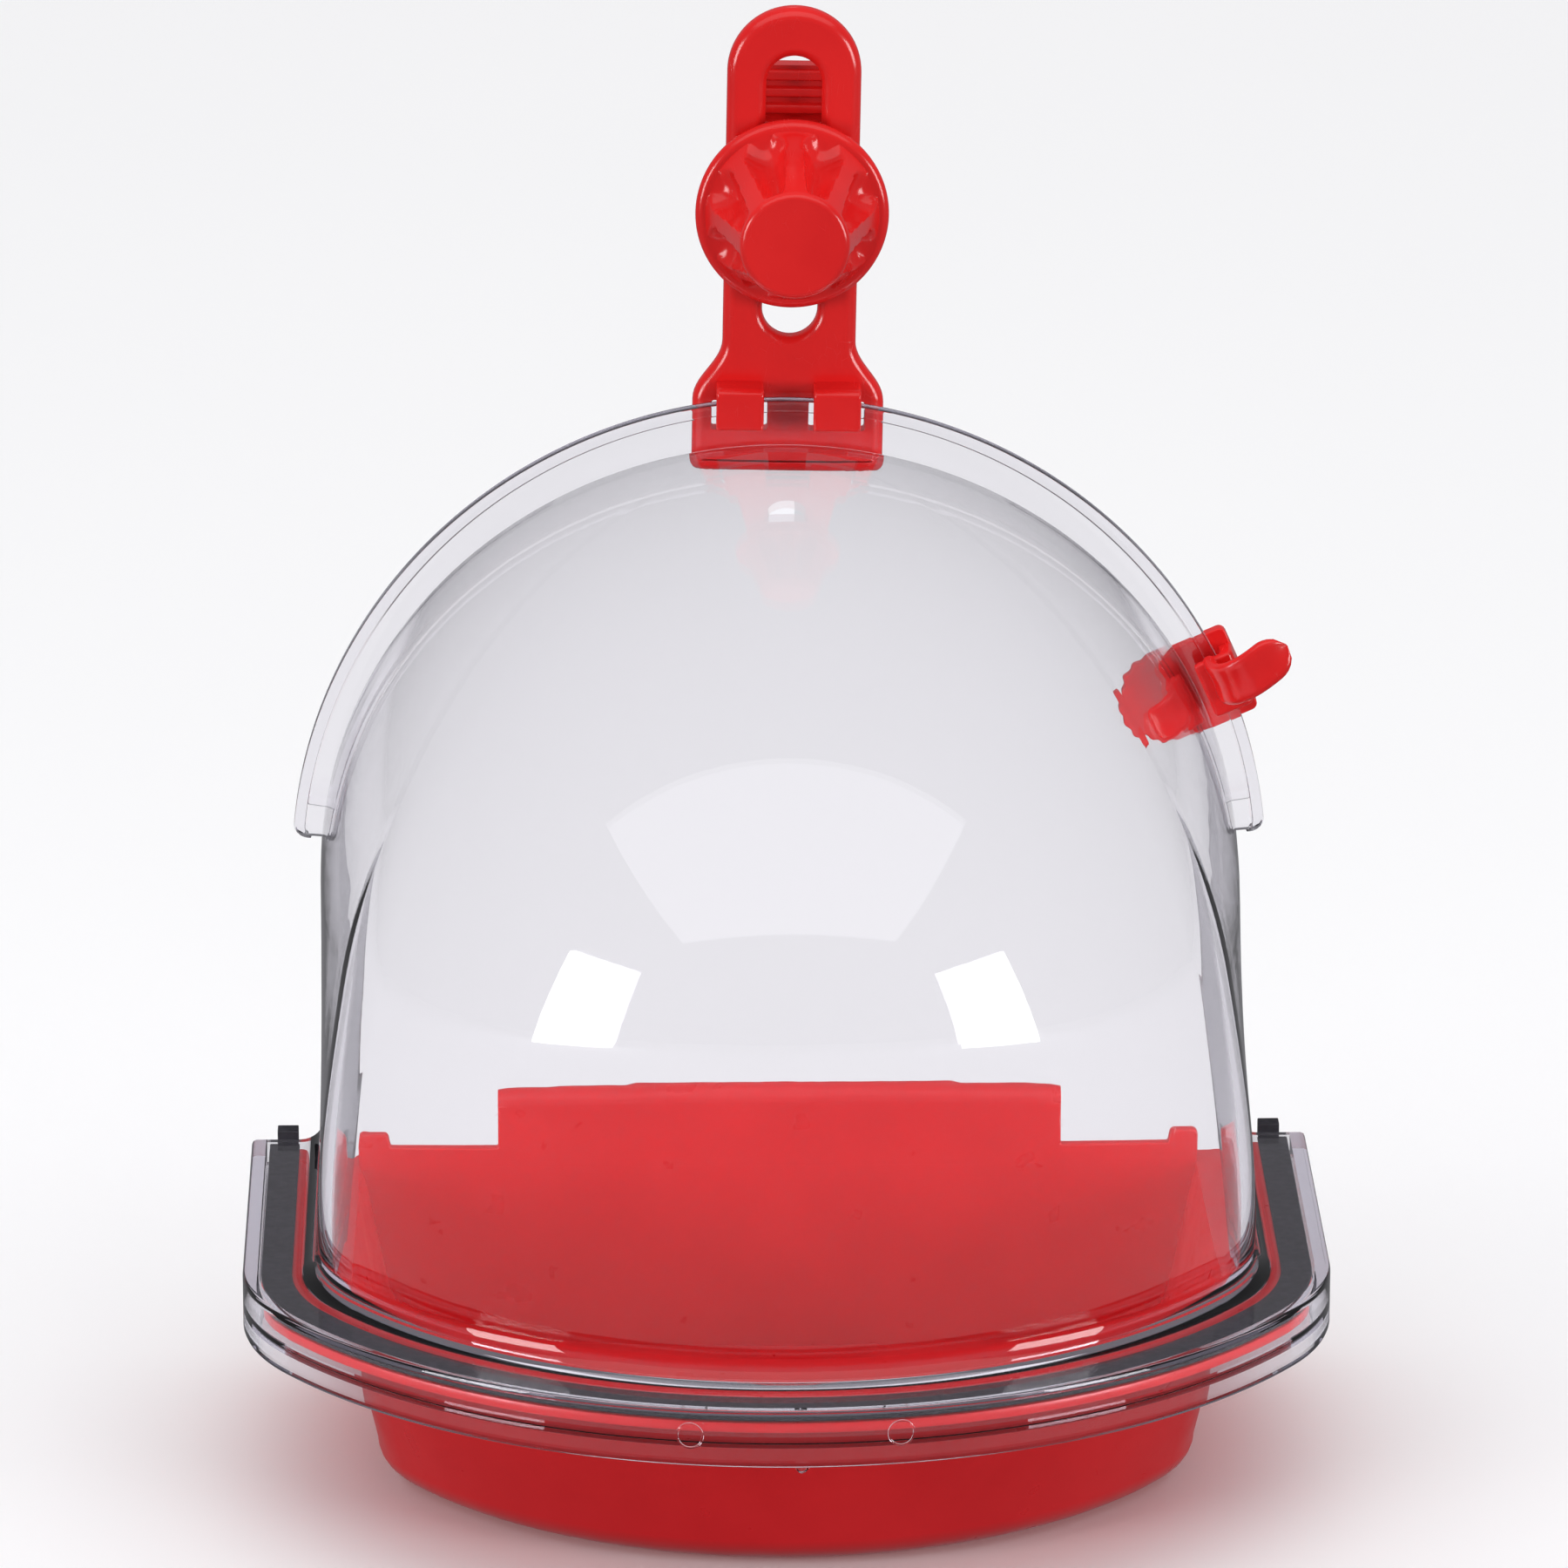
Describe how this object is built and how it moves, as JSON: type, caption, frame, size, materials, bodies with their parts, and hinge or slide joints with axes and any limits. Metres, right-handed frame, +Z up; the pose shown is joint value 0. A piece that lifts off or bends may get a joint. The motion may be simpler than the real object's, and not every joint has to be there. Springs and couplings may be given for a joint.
{
  "type": "hooded cage waterer",
  "caption": "Clear half-dome hood on a D-shaped base with a red slide-in water tray, a slotted hanging bracket with a clamp knob, and a side clip on an arched rail.",
  "frame": {"origin": "middle of the bounding box's underside, on the plane of the cup's flat bottom", "axes": "+Z up, the hood's convex front faces -Y, its open cage side faces +Y, +X to the right seen from the front"},
  "size_m": [0.152, 0.117, 0.1995],
  "materials": {
    "clear_plastic": "clear glossy injection-moulded plastic with a faint lilac tint at its edges",
    "red_gloss": "glossy red injection-moulded plastic",
    "red_satin": "satin red injection-moulded plastic",
    "black_rubber": "matt black rubber strip",
    "steel": "zinc-plated steel",
    "brass": "machined brass"
  },
  "bodies": {
    "hood": {"hood": "clear_plastic"},
    "tray": {"tray": "red_satin", "rim_gasket": "black_rubber"},
    "bracket": {"hanger_bracket": "red_gloss"},
    "clamp": {"clamp_plate": "red_gloss", "clamp_bolt": "steel"},
    "insert": {"knob_insert": "brass"},
    "knob": {"clamp_knob": "red_gloss"},
    "side_clip": {"side_clip": "red_gloss"}
  },
  "joints": [
    {"name": "tray_slide", "type": "slide", "parent": "hood", "child": "tray", "axis": [0, 1, 0], "range_m": [0, 0.1]},
    {"name": "bracket_slide", "type": "hinge", "parent": "hood", "child": "bracket", "pos_m": [0, 0.05, 0.0738], "axis": [0, 1, 0], "range_deg": [-60, 28]},
    {"name": "clamp_height", "type": "slide", "parent": "bracket", "child": "clamp", "axis": [0.0192, 0, 0.9998], "range_m": [-0.01, 0.0175]},
    {"name": "knob_advance", "type": "slide", "parent": "clamp", "child": "insert", "axis": [0, -1, 0], "range_m": [0, 0.0031]},
    {"name": "knob_turn", "type": "hinge", "parent": "insert", "child": "knob", "pos_m": [0.00185, 0.05, 0.17038], "axis": [0, -1, 0], "range_deg": [0, 1080]},
    {"name": "clip_slide", "type": "hinge", "parent": "hood", "child": "side_clip", "pos_m": [0, 0.05, 0.0738], "axis": [0, 1, 0], "range_deg": [-15, 7]}
  ],
  "couplings": [
    {"joint": "knob_advance", "follows": "knob_turn", "m_per_rad": 0.00015915}
  ]
}
